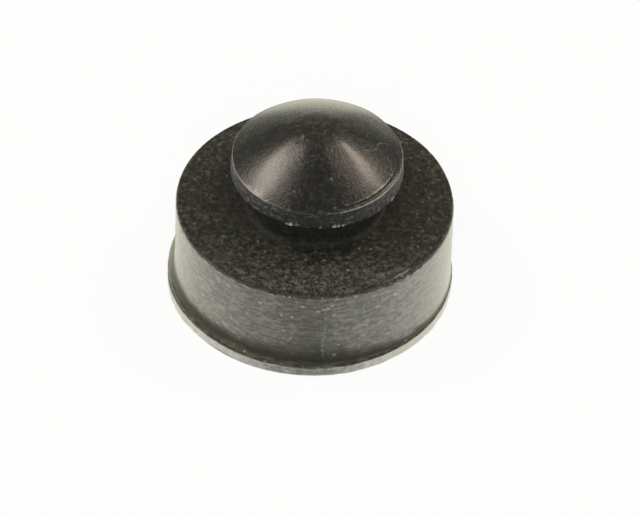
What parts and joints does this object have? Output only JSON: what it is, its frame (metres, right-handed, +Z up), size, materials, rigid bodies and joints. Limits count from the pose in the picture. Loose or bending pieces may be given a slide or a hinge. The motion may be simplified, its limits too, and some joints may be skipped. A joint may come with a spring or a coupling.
{
  "type": "rubber grommet",
  "caption": "Black rubber push-in grommet with a thick round foot pad, a short neck groove that grips a panel hole, and a pointed mushroom head.",
  "frame": {"origin": "on the axis of the foot pad, in the plane of the flat face it stands on", "axes": "+Z up from the foot face through the pointed head; -X is the side where the thin lip round the foot stands out furthest"},
  "size_m": [0.02, 0.02, 0.0137],
  "materials": {
    "black_rubber": "satin, dusty"
  },
  "bodies": {
    "root": {"rubber_grommet": "black_rubber"}
  },
  "joints": []
}
